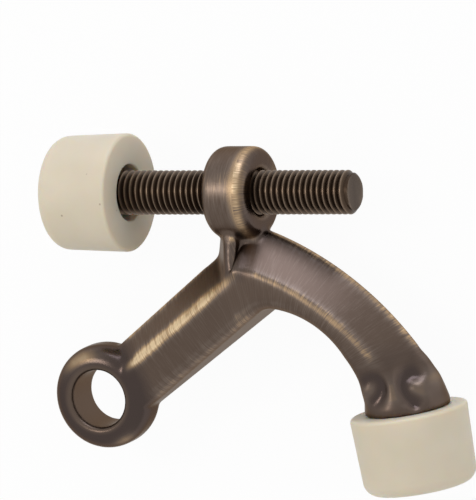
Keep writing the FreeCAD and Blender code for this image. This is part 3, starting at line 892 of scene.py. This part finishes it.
def white_table_top():
    """A matt white table top: white to the eye and in reflections, with a trace of the stop's shadow."""
    material, tree = new_material("white_table_top")
    path = add_node(tree, "ShaderNodeLightPath").outputs
    seen = add_node(
        tree, "ShaderNodeMath", {"operation": "ADD"}, i0=path["Is Camera Ray"], i1=path["Is Glossy Ray"]
    )
    seen = add_node(
        tree,
        "ShaderNodeMath",
        {"operation": "ADD", "use_clamp": True},
        i0=seen.outputs[0],
        i1=path["Is Transmission Ray"],
    )
    share = add_node(tree, "ShaderNodeMath", {"operation": "MULTIPLY"}, i0=seen.outputs[0], i1=0.95)
    matt = add_node(tree, "ShaderNodeBsdfDiffuse", Color=hex_colour("#f4f4f4"))
    white = add_node(tree, "ShaderNodeEmission", Color=hex_colour("#ffffff"), Strength=1.0)
    both = add_node(
        tree, "ShaderNodeMixShader", i0=share.outputs[0], i1=matt.outputs[0], i2=white.outputs[0]
    )
    add_node(tree, "ShaderNodeOutputMaterial", Surface=both.outputs[0])
    return material


def dress(obj, material, body, node):
    obj.data.materials.clear()
    obj.data.materials.append(material)
    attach(obj, body)
    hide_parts(node)


def lay_floor():
    """A plain table top just under the tips."""
    deselect()
    height = -TIP_RADIUS * MM - FLOOR_GAP
    bpy.ops.mesh.primitive_plane_add(size=FLOOR_SIZE, location=(*FLOOR_MIDDLE, height))
    floor = bpy.context.object
    floor.name = "table_top"
    floor.data.materials.append(white_table_top())


def hang_lamp(name, toward, distance, size, watts, colour):
    """A square soft lamp in a direction from the middle of the stop, facing it."""
    lamp = bpy.data.lights.new(name, "AREA")
    lamp.size = size
    lamp.energy = watts
    lamp.color = hex_colour(colour)[:3]
    obj = bpy.data.objects.new(name, lamp)
    bpy.context.scene.collection.objects.link(obj)
    aim = Vector(toward).normalized()
    obj.location = MIDDLE + aim * distance
    obj.rotation_euler = aim.to_track_quat("Z", "Y").to_euler()


def light_walls():
    """White studio walls all round."""
    world = bpy.data.worlds.new("studio_walls")
    bpy.context.scene.world = world
    world.use_nodes = True
    tree = world.node_tree
    tree.nodes.clear()
    light = add_node(tree, "ShaderNodeBackground", Color=hex_colour("#ffffff"), Strength=0.7)
    add_node(tree, "ShaderNodeOutputWorld", Surface=light.outputs[0])


def set_camera():
    """The photo was taken from in front, a little to the right and above, with a long lens."""
    lens = bpy.data.cameras.new("photo_camera")
    lens.lens = 1200.0
    lens.sensor_width = 36.0
    lens.clip_start = 0.1
    lens.clip_end = 20.0
    camera = bpy.data.objects.new("photo_camera", lens)
    bpy.context.scene.collection.objects.link(camera)
    distance = PICTURE_HEIGHT / lens.sensor_width * lens.lens
    right = PICTURE_UP.cross(TOWARD_CAMERA).normalized()
    up = TOWARD_CAMERA.cross(right)
    turn = Matrix((right, up, TOWARD_CAMERA)).transposed().to_4x4()
    aim = PICTURE_MIDDLE + TOWARD_CAMERA * (MIDDLE - PICTURE_MIDDLE).dot(TOWARD_CAMERA)
    camera.matrix_world = Matrix.Translation(aim + TOWARD_CAMERA * distance) @ turn
    bpy.context.scene.camera = camera


casting = model_casting()
shape = places_of(casting)
lift = bulge(casting, EDGE_BLUR)
mark(casting, "brush", "FLOAT_VECTOR", along_casting(shape))
# Wear, with painted highlights on the collar's front and the eye's top
mark(casting, "wear_and_sheen", "FLOAT", wear_and_painted_highlight(casting, lift))
mark(casting, "brushed", "FLOAT", brushed(shape, lift))
mark(casting, "streaked", "FLOAT", streaked(shape))
# Dark inner corners: dark patina together with painted shade
mark(casting, "corner", "FLOAT", dark_corners(casting))

screw = model_screw()
mark(screw, "wear_and_sheen", "FLOAT", thread_height(screw))

foot_tip = model_tip("foot_tip")
screw_tip = copy_of(foot_tip, "screw_tip")
seat = Matrix.Translation((FOOT_SEAT[0] * MM, FOOT_SEAT[1] * MM, 0))
settle(foot_tip, seat @ Matrix.Rotation(math.pi + FOOT_SPLAY, 4, "Z"))
mouth = Matrix.Translation((TIP_MOUTH_X * MM, SCREW_HEIGHT * MM, 0))
settle(screw_tip, mouth @ Matrix.Rotation(math.pi / 2, 4, "Z"))

rubber = cream_rubber()
dress(casting, antique_brass(), "stop", "cast_arm")
dress(screw, plated_steel(), "screw", "adjusting_screw")
dress(screw_tip, rubber, "tip", "screw_bumper")
dress(foot_tip, rubber, "stop", "foot_bumper")

lay_floor()
hang_lamp(
    "key_softbox", toward=(-0.46, 0.33, 0.82), distance=0.5, size=0.13, watts=0.32, colour="#fff8f0"
)
hang_lamp("top_softbox", toward=(0.12, 0.96, 0.1), distance=0.5, size=0.3, watts=0.82, colour="#e6ecff")
light_walls()
set_camera()
bpy.context.scene.view_settings.view_transform = "Standard"
